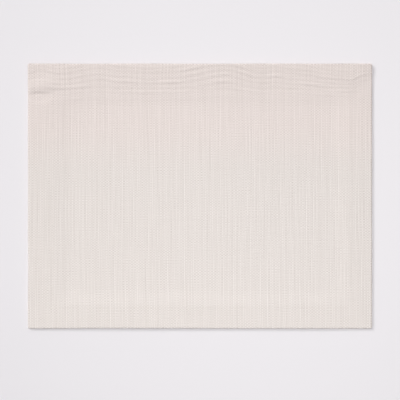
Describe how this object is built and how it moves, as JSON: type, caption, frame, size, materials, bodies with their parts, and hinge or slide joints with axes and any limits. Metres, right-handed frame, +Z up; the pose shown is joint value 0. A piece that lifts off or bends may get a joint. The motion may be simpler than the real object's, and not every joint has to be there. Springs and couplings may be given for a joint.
{
  "type": "fabric placemat",
  "caption": "Oblong woven cotton table mat lying flat, with turned and mitred hems and one long edge that curls up slightly.",
  "frame": {"origin": "middle of the mat's footprint, on the table that it lies on", "axes": "+X along the long side, +Y across the mat towards the edge that curls up slightly, +Z up out of its face"},
  "size_m": [0.46, 0.3542, 0.006],
  "materials": {
    "cloth": "matt plain-woven slub cotton, off-white with a faint warm tint"
  },
  "bodies": {
    "root": {"placemat_cloth": "cloth"}
  },
  "joints": []
}
